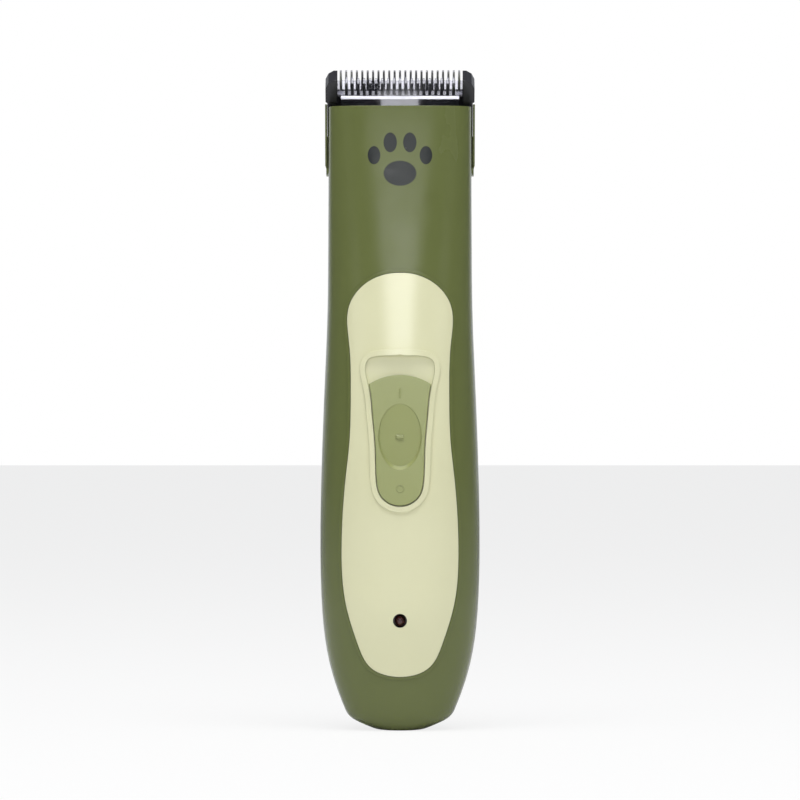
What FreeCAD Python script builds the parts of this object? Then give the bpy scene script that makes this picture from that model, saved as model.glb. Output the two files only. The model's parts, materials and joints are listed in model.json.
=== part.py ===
import FreeCAD, Part
import math
import os
import re
import Sketcher

# Cordless pet clipper standing on its rounded base.
# Millimetres. +Z runs up the body to the tooth tips, X is the width and the
# switch side faces -Y. The origin is the middle of the flat under the base.

os.makedirs("parts", exist_ok=True)
doc = FreeCAD.newDocument("pet_clipper")
Vector = FreeCAD.Vector
Rotation = FreeCAD.Rotation
Placement = FreeCAD.Placement

# ---------------------------------------------------------------- sizes

SIZES = {
    # casing
    "case_height": 166.2,
    "case_half": 21.2,
    "case_front": 18.3,
    "case_back": 18.4,
    "wall": 2.0,
    "parting_gap": 0.06,
    "fit_gap": 0.1,
    "slide_gap": 0.03,
    "run_gap": 0.3,
    # front panel and the groove lip round it
    "panel_deep": 1.0,
    "panel_proud": 0.25,
    "lip_wide": 0.8,
    "lip_proud": 0.3,
    # slide switch on the front
    "switch_share": 0.4705,
    "switch_z": "=case_height * switch_share",
    "switch_y": "=-0.932 * case_front",
    "switch_lean": 3.2,
    "recess_floor": 1.3,
    "floor_thick": 1.0,
    "recess_top": 21.9,
    "rim_wide": 1.5,
    "rim_proud": 0.75,
    "button_top": 16.4,
    "button_crown": 14.9,
    "button_thick": 2.3,
    "button_gap": 0.22,
    "switch_travel": 4.5,
    "stem_half": 2.6,
    "carriage_half": 5.5,
    "carriage_thick": 1.2,
    "lever_half": 1.4,
    "dish_half": 5.9,
    "dish_tall": 9.0,
    "dish_deep": 1.1,
    "dish_bulge": 4.0,
    "dish_lift": 1.0,
    "grip_half": 3.5,
    "grip_tall": 0.9,
    # circuit board
    "board_front_y": "=switch_y + 6.86",
    "board_thick": 1.6,
    "board_half": 12.0,
    "board_low": 20.0,
    "board_high": "=case_height - 72.2",
    "board_post_radius": 2.3,
    "board_screw_x": 9.2,
    "board_screw_radius": 0.8,
    "board_screw_head": 1.6,
    "board_screw_tall": 1.1,
    "led_z": 29.6,
    "led_radius": 1.5,
    "led_hole": 1.85,
    "led_tip_y": "=-0.885 * case_front",
    # two cells side by side
    "cell_radius": 7.1,
    "cell_long": 49.0,
    "cell_low": 16.0,
    "cell_x": 7.3,
    "cell_y": 3.5,
    "cell_cap_radius": 2.6,
    "cell_cap_tall": 0.8,
    "tab_half": 2.4,
    "tab_thick": 0.3,
    "rib_thick": 1.6,
    # motor on the centre line, shaft upwards
    "motor_y": -0.5,
    "motor_low": "=case_height - 62.2",
    "motor_long": 27.0,
    "can_radius": 10.2,
    "can_half_flat": 7.55,
    "can_thick": 0.8,
    "shaft_radius": 1.0,
    "bush_radius": 2.2,
    "boss_radius": 3.0,
    "magnet_inner": 7.4,
    "rotor_radius": 6.75,
    "commutator_radius": 2.4,
    "end_cap_thick": 1.8,
    "damper_thick": 0.95,
    "bracket_thick": 2.4,
    "motor_screw_x": 6.5,
    "motor_screw_radius": 0.8,
    "motor_screw_head": 1.6,
    "cam_low": "=case_height - 21.0",
    "cam_tall": 6.0,
    "cam_radius": 4.2,
    "throw": 1.2,
    "crank": 1.4,
    "pin_radius": 1.0,
    "pin_top": "=case_height - 3.8",
    # tilting cutting head, sizes below are in the head's own lean
    "hinge_y": 8.8,
    "hinge_z": "=case_height - 9.7",
    "head_lean": 35.0,
    "head_swing": 45.0,
    "trunnion_radius": 1.2,
    "blade_half": 18.2,
    "blade_screw_x": 8.0,
    "blade_screw_z": 5.4,
    "blade_screw_radius": 1.0,
    "blade_screw_head": 2.0,
    "blade_screw_tall": 0.8,
    "fixed_thick": 2.0,
    "cut_plane": 0.2,
    "fixed_low": 3.2,
    "fixed_tip": 23.18,
    "fixed_root": 17.6,
    "slot_ramp": 2.86,
    "shoulder_high": 19.3,
    "moving_low": 8.3,
    "moving_tip": 21.11,
    "moving_root": 16.36,
    "moving_step": 16.14,
    "step_drop": 0.68,
    "tooth_thick": 0.9,
    "moving_thick": 1.5,
    "moving_half": 16.9,
    "tongue_half": 13.0,
    "corner_low": 13.0,
    "fixed_pitch": 1.436,
    "moving_pitch": 1.59,
    "root_ramp": 0.8,
    "comb_half": 15.1,
    "stroke": 1.2,
    "ear_in": "=case_half - 1.65",
    "ear_out": "=case_half - 1.15",
    "cheek_in": "=case_half - 4.5",
    "cheek_out": "=case_half - 1.3",
    "cheek_top": 22.26,
    "arm_out": "=case_half - 1.75",
    "cheek_front": -3.0,
    "bearing_in": 8.9,
    "bearing_out": 12.5,
    "bearing_radius": 2.5,
    "fork_half": 5.05,
    "fork_gap": "=pin_radius + throw + stroke + 0.15",
    "fork_low": "=case_height - 8.7",
    # screws
    "screw_radius": 1.2,
    "screw_head": 2.3,
    "boss_out": 2.8,
    "upper_screw_x": "=case_half - 8.0",
    "upper_screw_z": "=case_height - 66.7",
    "lower_screw_x": 9.4,
    "lower_screw_z": 9.6,
    # charging socket in the base
    "jack_y": 4.4,
    "jack_bore": 3.3,
    "jack_radius": 3.9,
    "jack_long": 10.5,
    "jack_hollow": 2.8,
    "jack_set": 0.15,
    "jack_pin_radius": 0.65,
    "wire_radius": 0.6,
}

# body sections: height as a share of the casing, then half width, front and
# back depth as shares of the largest ones, and how square the section is
SECTIONS = [
    ("heel", 0.060, 0.778, 0.694, 0.728, 2.3),
    ("instep", 0.137, 0.934, 0.852, 0.891, 2.3),
    ("palm", 0.240, 0.998, 0.962, 0.989, 2.3),
    ("belly", 0.360, 1.000, 1.000, 1.000, 2.3),
    ("grip", 0.480, 0.974, 0.962, 0.940, 2.3),
    ("waist", 0.600, 0.934, 0.869, 0.826, 2.35),
    ("shoulder", 0.720, 0.908, 0.743, 0.739, 2.5),
    ("neck", 0.825, 0.903, 0.656, 0.674, 2.8),
    ("collar", 0.915, 0.901, 0.623, 0.652, 3.2),
    ("crown", 1.020, 0.901, 0.618, 0.630, 3.4),
]
# domed base: height and slope, then the same three shares
DOME = [
    ("foot", 0.0, 0.0, 0.236, 0.383, 0.478),
    ("sole", 0.9, 22.0, 0.400, 0.475, 0.530),
    ("tread", 2.4, 38.0, 0.557, 0.545, 0.590),
    ("edge", 4.4, 58.0, 0.668, 0.605, 0.645),
    ("welt", 6.9, 70.0, 0.722, 0.652, 0.688),
]
# front panel outline from the arch down: share of the height, half width
PANEL = [
    ("arch", 0.7323, 0.0),
    ("temple", 0.7268, 5.6),
    ("brow", 0.7090, 10.4),
    ("cheek", 0.6800, 13.5),
    ("ribs", 0.6200, 13.5),
    ("middle", 0.5430, 13.05),
    ("hip", 0.4633, 13.4),
    ("thigh", 0.4007, 14.5),
    ("knee", 0.3363, 15.3),
    ("shin", 0.2768, 15.5),
    ("calf", 0.2076, 14.5),
    ("ankle", 0.1432, 11.4),
    ("toe", 0.1040, 8.0),
    ("tip", 0.0879, 0.0),
]
# side line of the switch recess, measured from the switch centre
RECESS_SIDE = [
    ("low", -12.1, 6.3),
    ("lower", -3.6, 6.65),
    ("mid", 5.8, 7.4),
    ("upper", 13.8, 8.4),
    ("high", 18.3, 9.2),
    ("corner", 20.3, 8.6),
    ("shoulder", 21.4, 6.0),
]

for name, share, half, front, back, square in SECTIONS:
    SIZES[name + "_share"] = share
    SIZES[name + "_half"] = half
    SIZES[name + "_front"] = front
    SIZES[name + "_back"] = back
    SIZES[name + "_square"] = square
for name, height, slope, half, front, back in DOME:
    SIZES[name + "_height"] = height
    SIZES[name + "_slope"] = slope
    SIZES[name + "_half"] = half
    SIZES[name + "_front"] = front
    SIZES[name + "_back"] = back
for name, share, half in PANEL:
    SIZES["panel_" + name + "_share"] = share
    SIZES["panel_" + name + "_half"] = half
for name, height, half in RECESS_SIDE:
    SIZES["recess_" + name + "_height"] = height
    SIZES["recess_" + name + "_half"] = half

sheet = doc.addObject("Spreadsheet::Sheet", "Sizes")
for row, (alias, given) in enumerate(SIZES.items(), 1):
    sheet.set("A%d" % row, alias)
    sheet.set("B%d" % row, str(given))
    sheet.setAlias("B%d" % row, alias)
doc.recompute()

WORD = re.compile(r"[a-z][a-z_0-9]*")
NODES = []


def size(alias):
    return float(sheet.get(alias))


def linked(match):
    word = match.group(0)
    return "Sizes." + word if word in SIZES else word


def bind(item, target, text):
    item.setExpression(target, WORD.sub(linked, str(text)))


# ---------------------------------------------------------------- helpers


def at(item, x="0", y="0", z="0"):
    bind(item, "Placement.Base.x", x)
    bind(item, "Placement.Base.y", y)
    bind(item, "Placement.Base.z", z)
    return item


def box(x, y, z):
    item = doc.addObject("Part::Box", "Block")
    bind(item, "Length", "(%s) - (%s)" % (x[1], x[0]))
    bind(item, "Width", "(%s) - (%s)" % (y[1], y[0]))
    bind(item, "Height", "(%s) - (%s)" % (z[1], z[0]))
    return at(item, x[0], y[0], z[0])


TURNS = {
    "x": Rotation(Vector(0, 1, 0), 90),
    "y": Rotation(Vector(1, 0, 0), -90),
    "z": Rotation(),
}


def rod(axis, radius, span, x="0", y="0", z="0", top=None):
    """A cylinder, or a cone when its far radius is given too."""
    kind = "Part::Cylinder" if top is None else "Part::Cone"
    item = doc.addObject(kind, "Rod")
    item.Placement = Placement(Vector(), TURNS[axis])
    if top is None:
        bind(item, "Radius", radius)
    else:
        bind(item, "Radius1", radius)
        bind(item, "Radius2", top)
    bind(item, "Height", "(%s) - (%s)" % (span[1], span[0]))
    start = {"x": x, "y": y, "z": z}
    start[axis] = span[0]
    return at(item, start["x"], start["y"], start["z"])


def join(*items):
    if len(items) == 1:
        return items[0]
    item = doc.addObject("Part::MultiFuse", "Joined")
    item.Shapes = list(items)
    return item


def cut(base, *tools):
    item = doc.addObject("Part::Cut", "Cut")
    item.Base = base
    item.Tool = join(*tools)
    return item


def common(*items):
    item = doc.addObject("Part::MultiCommon", "Shared")
    item.Shapes = list(items)
    return item


def group(*items):
    item = doc.addObject("Part::Compound", "Group")
    item.Links = list(items)
    return item


def turned(item, y, z, angle):
    """Stand an item in a frame tilted about X."""
    item.Placement = Placement(Vector(), Rotation(Vector(1, 0, 0), 1))
    bind(item, "Placement.Rotation.Angle", angle)
    return at(item, "0", y, z)


PLANES = {
    "yz": Rotation(Vector(1, 1, 1), 120),
    "xz": Rotation(Vector(1, 0, 0), 90),
    "xy": Rotation(),
}


def prism(plane, points, low, high):
    """A straight-sided outline given as text coordinates, pushed out flat."""
    sketch = doc.addObject("Sketcher::SketchObject", "Outline")
    count = len(points)
    ring = [Vector(math.cos(k * math.tau / count), math.sin(k * math.tau / count), 0)
            for k in range(count)]
    for k in range(count):
        sketch.addGeometry(Part.LineSegment(ring[k], ring[(k + 1) % count]), False)
    for k in range(count):
        following = (k + 1) % count
        sketch.addConstraint(Sketcher.Constraint("Coincident", k, 2, following, 1))
    for k, (first, second) in enumerate(points):
        for kind, guess, text in (("DistanceX", ring[k].x, first), ("DistanceY", ring[k].y, second)):
            index = sketch.addConstraint(Sketcher.Constraint(kind, -1, 1, k, 1, guess))
            bind(sketch, "Constraints[%d]" % index, text)
    sketch.Placement = Placement(Vector(), PLANES[plane])
    item = doc.addObject("Part::Extrusion", "Prism")
    item.Base = sketch
    item.DirMode = "Normal"
    item.Solid = True
    bind(item, "LengthFwd", "(%s) - (%s)" % (high, low))
    if plane == "yz":
        at(sketch, low, "0", "0")
    elif plane == "xz":
        at(sketch, "0", high, "0")
    else:
        at(sketch, "0", "0", low)
    return item


def mirrored(points):
    return [("-(%s)" % first, second) for first, second in points]


def span(side, low, high):
    if side > 0:
        return (low, high)
    return ("-(%s)" % high, "-(%s)" % low)


def node(item, name):
    item.Label = name
    NODES.append(item)
    return item


def feature(shape, name):
    item = doc.addObject("Part::Feature", name)
    item.Shape = shape
    return item



# ---------------------------------------------------------------- casing form

ROUND_POINTS = 24


def ring(height, half, front, back, square):
    """One rounded section of the body, squarer as its exponent rises."""
    points = []
    for k in range(ROUND_POINTS):
        turn = math.tau * k / ROUND_POINTS
        across = math.copysign(abs(math.cos(turn)) ** (2 / square), math.cos(turn))
        along = math.copysign(abs(math.sin(turn)) ** (2 / square), math.sin(turn))
        depth = back if math.sin(turn) > 0 else front
        points.append(Vector(half * across, depth * along, height))
    curve = Part.BSplineCurve()
    marks = [float(k) for k in range(ROUND_POINTS + 1)]
    curve.interpolate(Points=points, PeriodicFlag=True, Parameters=marks)
    return Part.Wire([curve.toShape()])


def form(inset, name):
    """The body's outer form, shrunk by inset all round."""
    half, front, back = size("case_half"), size("case_front"), size("case_back")
    sections = []
    for key in [row[0] for row in DOME]:
        slope = math.radians(size(key + "_slope"))
        side = inset * math.sin(slope)
        sections.append(ring(
            size(key + "_height") + inset * math.cos(slope),
            half * size(key + "_half") - side,
            front * size(key + "_front") - side,
            back * size(key + "_back") - side,
            size("heel_square"),
        ))
    for key in [row[0] for row in SECTIONS]:
        sections.append(ring(
            size("case_height") * size(key + "_share"),
            half * size(key + "_half") - inset,
            front * size(key + "_front") - inset,
            back * size(key + "_back") - inset,
            size(key + "_square"),
        ))
    return feature(Part.makeLoft(sections, True, False), name)


def symmetric_face(points, grow):
    """A flat X-Z outline, given down its right side and mirrored to the left.

    Points are X, Z pairs from the top middle to the bottom middle.
    """
    path = [Vector(x, 0, z) for x, z in points + [(-x, z) for x, z in points[-2:0:-1]]]
    curve = Part.BSplineCurve()
    curve.interpolate(Points=path, PeriodicFlag=True)
    if grow:
        grown = []
        for point in path:
            run = curve.tangent(curve.parameter(point))[0]
            if point.x == 0:
                run = Vector(math.copysign(1, run.x), 0, 0)
            grown.append(point + Vector(-run.z, 0, run.x) * grow)
        curve = Part.BSplineCurve()
        curve.interpolate(Points=grown, PeriodicFlag=True)
        path = grown
    curve.segment(curve.FirstParameter, curve.parameter(path[len(points) - 1]))
    right = curve.toShape()
    left = right.mirror(Vector(), Vector(1, 0, 0))
    return Part.Face(Part.Wire(Part.__sortEdges__([right, left])))


def panel_face(grow=0.0):
    """Closed outline of the cream front panel."""
    height = size("case_height")
    points = [(size("panel_" + row[0] + "_half"), height * size("panel_" + row[0] + "_share"))
              for row in PANEL]
    return symmetric_face(points, grow)


def recess_face(centre, grow=0.0):
    """Outline of the switch recess: round below, wider and flatter on top."""
    points = [(0.0, centre + size("recess_top"))]
    for row in reversed(RECESS_SIDE):
        points.append((size("recess_" + row[0] + "_half"), centre + size("recess_" + row[0] + "_height")))
    bend = points[-1][0]
    middle = points[-1][1]
    for degrees in (30, 60, 90):
        turn = math.radians(degrees)
        points.append((bend * math.cos(turn), middle - bend * math.sin(turn)))
    points[-1] = (0.0, middle - bend)
    return symmetric_face(points, grow)


def pushed(face, front, back, name):
    """A flat outline pushed from front to back along Y."""
    moved = face.translated(Vector(0, front, 0))
    return feature(moved.extrude(Vector(0, back - front, 0)), name)


outer = form(0.0, "OuterForm")
inner = form(size("wall"), "InnerForm")
snug = form(size("wall") + size("fit_gap"), "SnugForm")
panel_skin = form(-size("panel_proud"), "PanelSkin")
panel_bed = form(size("panel_deep"), "PanelBed")
panel_back = form(size("panel_deep") - 0.05, "PanelBack")
lip_skin = form(-size("lip_proud"), "LipSkin")
rim_skin = form(-size("rim_proud"), "RimSkin")
mid_form = form(size("wall") / 2, "MidForm")


def neck_plug():
    """Straight plug that just fits inside the mouth of the casing."""
    inset = size("wall") + size("fit_gap") + 0.1
    section = ring(
        size("case_height") - 30,
        size("case_half") * size("crown_half") - inset,
        size("case_front") * size("crown_front") - inset,
        size("case_back") * size("crown_back") - inset,
        size("crown_square"),
    )
    return feature(Part.Face(section).extrude(Vector(0, 0, 40)), "NeckPlug")


neck = neck_plug()

DEEP = 60.0
rim = size("rim_wide")
gap = size("fit_gap")
panel_cut = pushed(panel_face(gap), -DEEP, 0, "PanelCut")
panel_plan = pushed(panel_face(), -DEEP, 0, "PanelPlan")
lip_plan = pushed(panel_face(gap + size("lip_wide")), -DEEP, 0, "LipPlan")
recess_plan = pushed(recess_face(size("switch_z")), -DEEP, 0, "RecessPlan")
rim_plan = pushed(recess_face(size("switch_z"), rim), -DEEP, 0, "RimPlan")
window_plan = pushed(recess_face(size("switch_z"), rim + gap), -DEEP, 0, "WindowPlan")
button_plan = pushed(recess_face(0.0, -size("button_gap")), -DEEP, DEEP, "ButtonPlan")

WIDE = ("-40", "40")


def mouth():
    """Everything above the slanting mouth of the casing."""
    points = [
        ("-60", "case_height"),
        ("-1.3", "case_height"),
        ("5.6", "case_height - 10.2"),
        ("7.6", "case_height - 12.9"),
        ("60", "case_height - 12.9"),
        ("60", "case_height + 40"),
        ("-60", "case_height + 40"),
    ]
    return prism("yz", points, *WIDE)


def seam():
    """Shallow groove round the outside where the two shells meet."""
    return cut(box(WIDE, ("-parting_gap", "parting_gap"), ("-1", "case_height + 20")), mid_form)


def screw_bosses(y_low, y_high):
    bosses = []
    for x, z in SCREW_SPOTS:
        bosses.append(rod("y", "boss_out", (y_low, y_high), x=x, z=z))
    return common(join(*bosses), mid_form)


SCREW_SPOTS = [
    ("upper_screw_x", "upper_screw_z"),
    ("-upper_screw_x", "upper_screw_z"),
    ("lower_screw_x", "lower_screw_z"),
    ("-lower_screw_x", "lower_screw_z"),
]
SCREW_SEAT = {"upper_screw_z": "6.0", "lower_screw_z": "5.4"}


def cell_ribs(y_low, y_high):
    """Cross ribs with round saddles that hold the two cells."""
    slabs = [box(WIDE, (y_low, y_high), ("cell_low + %s" % low, "cell_low + %s + rib_thick" % low))
             for low in ("9", "34")]
    saddles = [rod("z", "cell_radius + fit_gap", ("0", "cell_low + cell_long + 10"), x=x, y="cell_y")
               for x in ("cell_x", "-cell_x")]
    bridge = box(("-cell_x", "cell_x"), ("-60", "cell_y + cell_radius * 0.55"), ("0", "100"))
    return common(cut(join(*slabs), join(*saddles), bridge), mid_form)


def motor_ribs(y_low, y_high):
    slabs = [box(WIDE, (y_low, y_high), ("motor_low + %s" % low, "motor_low + %s + rib_thick" % low))
             for low in ("6", "20")]
    room = box(("-can_radius - 1.1", "can_radius + 1.1"),
               ("motor_y - can_half_flat - 1.1", "motor_y + can_half_flat + 1.1"), ("0", "200"))
    return common(cut(join(*slabs), room), mid_form)


def front_shell():
    half = box(WIDE, ("-60", "0"), ("-1", "case_height + 20"))
    skin = cut(common(outer, half), inner, mouth())
    lip = common(cut(lip_plan, panel_cut), lip_skin)
    lip = common(cut(lip, inner), half)
    bed = common(panel_cut, half)
    shell = join(cut(join(skin, lip), cut(bed, panel_bed)),
                 screw_bosses("-60", "-parting_gap"), motor_ribs("-60", "-3"), board_posts())
    holes = [rod("y", "screw_radius + 0.05", ("-7.5", "5"), x=x, z=z) for x, z in SCREW_SPOTS]
    holes.append(window_plan)
    holes.append(rod("y", "led_hole + 0.5", ("-60", "board_front_y - 0.6"), z="led_z"))
    holes.append(board_screw_holes())
    return node(cut(shell, seam(), *holes), "front_shell")


def ear(side):
    """Thin side fin of the rear shell that stands beside the head."""
    plan = [("0.12", "case_height - 17.6"), ("0.12", "case_height + 0.9"), ("4.4", "case_height + 0.9"),
            ("7.4", "case_height - 6.5"), ("7.4", "case_height - 15"), ("5.4", "case_height - 18.2")]
    fin = [("case_half - 3.2", "case_height - 19"), ("case_half * 0.9035", "case_height - 18.2"),
           ("ear_out - 0.05", "case_height - 15.5"), ("ear_out", "case_height + 0.9"),
           ("ear_in", "case_height + 0.9"), ("ear_in", "case_height - 16"),
           ("case_half - 3.2", "case_height - 17.6")]
    if side < 0:
        fin = mirrored(fin)
    web = box(span(side, "case_half - 3.2", "ear_in + 0.2"), ("2.2", "7.4"),
              ("case_height - 18.2", "case_height - 12.8"))
    screen = box(span(side, "case_half * 0.9 - 0.9", "ear_in + 0.2"), ("2.2", "3.2"),
                 ("case_height - 18.2", "case_height - 7.6"))
    return common(prism("yz", plan, *span(side, "case_half - 3.2", "case_half + 2")),
                  join(prism("xz", fin, "-1", "10"), web, screen))


def rear_shell():
    half = box(WIDE, ("0", "60"), ("-1", "case_height + 20"))
    skin = cut(common(outer, half), inner, mouth())
    shell = join(skin, ear(1), ear(-1), screw_bosses("parting_gap", "60"),
                 cell_ribs("1", "60"), motor_ribs("3", "60"))
    tools = [seam()]
    for x, z in SCREW_SPOTS:
        seat = SCREW_SEAT[z]
        tools.append(rod("y", "screw_radius + 0.05", ("-1", seat + " + 1"), x=x, z=z))
        tools.append(rod("y", "screw_head + 0.2", (seat, "60"), x=x, z=z))
    tools.append(rod("z", "jack_bore", ("-5", "wall + 0.01"), y="jack_y"))
    return node(cut(shell, *tools), "rear_shell")


def front_panel():
    skin = common(cut(panel_plan, panel_back), panel_skin)
    tub_depth = turned(group(box(WIDE, ("-10", "recess_floor + floor_thick"), ("-40", "40"))),
                       "switch_y", "switch_z", "-switch_lean")
    tub = common(rim_plan, tub_depth, rim_skin)
    hollow_depth = turned(group(box(WIDE, ("-20", "recess_floor"), ("-40", "40"))),
                          "switch_y", "switch_z", "-switch_lean")
    hollow = common(recess_plan, hollow_depth)
    slot = turned(group(box(("-stem_half - 0.2", "stem_half + 0.2"), ("-5", "8"),
                            ("-3.2", "3.2 + switch_travel"))),
                  "switch_y", "switch_z", "-switch_lean")
    light = rod("y", "led_hole", ("-60", "-4"), z="led_z")
    return node(cut(join(skin, tub), hollow, slot, light), "front_panel")


# ---------------------------------------------------------------- switch


def switch_button():
    """Tapered thumb plate with an oval dish, a grip rib and a square stem."""
    low = "recess_floor - 0.15"
    plate = box(WIDE, ("%s - button_thick" % low, low), ("-30", "30"))
    crown = rod("y", "button_crown", ("-5", "5"), z="button_top - button_crown")
    tail = box(WIDE, ("-5", "5"), ("-30", "button_top - button_crown"))
    body = common(plate, button_plan, join(crown, tail))
    face = low + " - button_thick"
    bowl = doc.addObject("Part::Ellipsoid", "Bowl")
    bind(bowl, "Radius1", "dish_bulge")
    bind(bowl, "Radius2", "dish_half")
    bind(bowl, "Radius3", "dish_tall")
    bowl.Placement = Placement(Vector(), Rotation(Vector(1, 0, 0), 90))
    bind(bowl, "Placement.Base.y", face + " - dish_lift")
    ramp = prism("yz", [(face + " - 6", "-dish_tall"), (face + " + dish_deep", "-dish_tall"),
                        (face, "dish_tall"), (face + " - 6", "dish_tall")], *WIDE)
    dish = common(bowl, ramp)
    rib = box(("-grip_half", "grip_half"), ("recess_floor - button_thick - 0.1", "recess_floor - 0.6"),
              ("-grip_tall / 2", "grip_tall / 2"))
    stem = box(("-stem_half", "stem_half"), ("recess_floor - 0.6", "recess_floor + floor_thick + 0.15"),
               ("-3", "3"))
    return node(turned(join(cut(body, dish), rib, stem), "switch_y", "switch_z", "-switch_lean"),
                "switch_button")


def switch_carriage():
    """Slide behind the panel floor that carries the button's stem."""
    low = "recess_floor + floor_thick + 0.15"
    plate = box(("-carriage_half", "carriage_half"), (low, low + " + carriage_thick"), ("-8", "8"))
    hole = box(("-lever_half - 0.03", "lever_half + 0.03"), ("0", "10"),
               ("-lever_half - 0.03", "lever_half + 0.03"))
    return node(turned(cut(plate, hole), "switch_y", "switch_z", "-switch_lean"), "switch_carriage")


def slide_switch_lever():
    low = "recess_floor + floor_thick + 0.35"
    grip = box(("-lever_half", "lever_half"), (low, low + " + 2.9"), ("-lever_half", "lever_half"))
    return node(turned(group(grip), "switch_y", "switch_z", "-switch_lean"), "slide_switch_lever")


def slide_switch_body():
    """Electrical slide switch soldered to the board, with a slot for its lever."""
    case = box(("-4.4", "4.4"), ("board_front_y - 2.2", "board_front_y"), ("switch_z - 7", "switch_z + 11"))
    slot = box(("-lever_half - 0.3", "lever_half + 0.3"), ("board_front_y - 5", "board_front_y - 0.8"),
               ("switch_z - lever_half - 0.5", "switch_z + lever_half + switch_travel + 0.5"))
    return node(cut(case, slot), "slide_switch_body")


# ---------------------------------------------------------------- board

BOARD_SCREW_Z = ("board_low + 4.5", "board_low + 33")


def board_posts():
    posts = [rod("y", "board_post_radius", ("-60", "board_front_y"), x=x, z=z)
             for x in ("board_screw_x", "-board_screw_x") for z in BOARD_SCREW_Z]
    return cut(common(join(*posts), mid_form), pushed(
        panel_face(gap), -DEEP, size("board_front_y") - 4.6, "PostClear"))


def board_screw_holes():
    return join(*[rod("y", "board_screw_radius + 0.05", ("board_front_y - 4", "10"), x=x, z=z)
                  for x in ("board_screw_x", "-board_screw_x") for z in BOARD_SCREW_Z])


def circuit_board():
    plate = box(("-board_half", "board_half"), ("board_front_y", "board_front_y + board_thick"),
                ("board_low", "board_high"))
    holes = [rod("y", "board_screw_radius + 0.15", ("-40", "20"), x=x, z=z)
             for x in ("board_screw_x", "-board_screw_x") for z in BOARD_SCREW_Z]
    return node(cut(plate, *holes), "circuit_board")


def board_screws():
    parts = []
    for x in ("board_screw_x", "-board_screw_x"):
        for z in BOARD_SCREW_Z:
            back = "board_front_y + board_thick"
            shank = rod("y", "board_screw_radius", ("board_front_y - 3.0", back + " + 0.2"), x=x, z=z)
            head = rod("y", "board_screw_head", (back, back + " + board_screw_tall"), x=x, z=z)
            parts.append(join(shank, head))
    return node(group(*parts), "board_screws")


def indicator_led():
    flange = rod("y", "led_radius + 0.4", ("board_front_y - 1.0", "board_front_y"), z="led_z")
    barrel = rod("y", "led_radius", ("led_tip_y + led_radius", "board_front_y"), z="led_z")
    dome = doc.addObject("Part::Sphere", "Dome")
    bind(dome, "Radius", "led_radius")
    at(dome, "0", "led_tip_y + led_radius", "led_z")
    return node(join(flange, barrel, dome), "indicator_led")


def on_board(name, parts):
    """Small components soldered to the back of the board."""
    back = "board_front_y + board_thick"
    blocks = [box(x, (back, back + " + " + tall), z) for x, z, tall in parts]
    return node(group(*blocks), name)


def board_parts():
    on_board("charge_chip", [(("-6", "-2"), ("board_low + 14", "board_low + 19"), "1.4")])
    on_board("board_resistors", [
        (("-8", "-6"), ("board_low + 24", "board_low + 25.2"), "0.6"),
        (("-8", "-6"), ("board_low + 28", "board_low + 29.2"), "0.6"),
        (("5", "7"), ("board_low + 21", "board_low + 22.2"), "0.6"),
    ])
    on_board("board_diodes", [
        (("2", "5.2"), ("board_low + 14", "board_low + 16"), "1.2"),
        (("2", "5.2"), ("board_low + 27", "board_low + 29"), "1.2"),
    ])
    back = "board_front_y + board_thick"
    can = rod("y", "2.5", (back, back + " + 5.4"), x="5.6", z="board_high - 16")
    node(group(can), "board_capacitor")


# ---------------------------------------------------------------- cells and socket


def battery_cells():
    cells = []
    top = "cell_low + cell_long"
    for x in ("cell_x", "-cell_x"):
        body = rod("z", "cell_radius", ("cell_low", top), x=x, y="cell_y")
        cap = rod("z", "cell_cap_radius", (top, top + " + cell_cap_tall"), x=x, y="cell_y")
        cells.append(join(body, cap))
    return node(group(*cells), "battery_cells")


def cell_tabs():
    """Nickel strips: one across the bottom, one up from each top cap."""
    low = box(("-cell_x - tab_half", "cell_x + tab_half"), ("cell_y - 2", "cell_y + 2"),
              ("cell_low - tab_thick", "cell_low"))
    top = "cell_low + cell_long + cell_cap_tall"
    caps = [box(span(s, "cell_x - tab_half", "cell_x + tab_half"), ("cell_y - 2", "cell_y + 2"),
                (top, top + " + tab_thick"))
            for s in (1, -1)]
    return node(group(low, *caps), "cell_tabs")


def dc_jack():
    """Charging socket: a hollow barrel behind the hole in the base."""
    low = "wall + jack_set"
    barrel = rod("z", "jack_radius", (low, low + " + jack_long"), y="jack_y")
    bore = rod("z", "jack_hollow", (low + " - 1", low + " + 9"), y="jack_y")
    return node(cut(barrel, bore), "dc_jack")


def jack_pin():
    low = "wall + 0.45"
    return node(group(rod("z", "jack_pin_radius", (low, "wall + 9.15"), y="jack_y")), "jack_pin")


def jack_terminals():
    top = "wall + jack_set + jack_long"
    tags = [box(span(s, "1.0", "2.4"), ("jack_y - 0.2", "jack_y + 0.2"), (top, top + " + 1.6"))
            for s in (1, -1)]
    return node(group(*tags), "jack_terminals")


# ---------------------------------------------------------------- motor


def flat_round(radius, flat, low, high):
    """A round bar with two flats, the section of a small motor can."""
    bar = rod("z", radius, (low, high), y="motor_y")
    return common(bar, box(WIDE, ("motor_y - " + flat, "motor_y + " + flat), (low, high)))


def motor_can():
    high = "motor_low + motor_long"
    body = flat_round("can_radius", "can_half_flat", "motor_low", high)
    hollow = flat_round("can_radius - can_thick", "can_half_flat - can_thick",
                        "motor_low - 1", high + " - can_thick")
    boss = rod("z", "boss_radius", (high + " - 0.1", high + " + 1.5"), y="motor_y")
    bore = rod("z", "bush_radius", ("motor_low", high + " + 5"), y="motor_y")
    holes = [rod("z", "motor_screw_radius + 0.05", (high + " - 3", high + " + 1"), x=x, y="motor_y")
             for x in ("motor_screw_x", "-motor_screw_x")]
    return node(cut(join(body, boss), hollow, bore, *holes), "motor_can")


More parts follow.
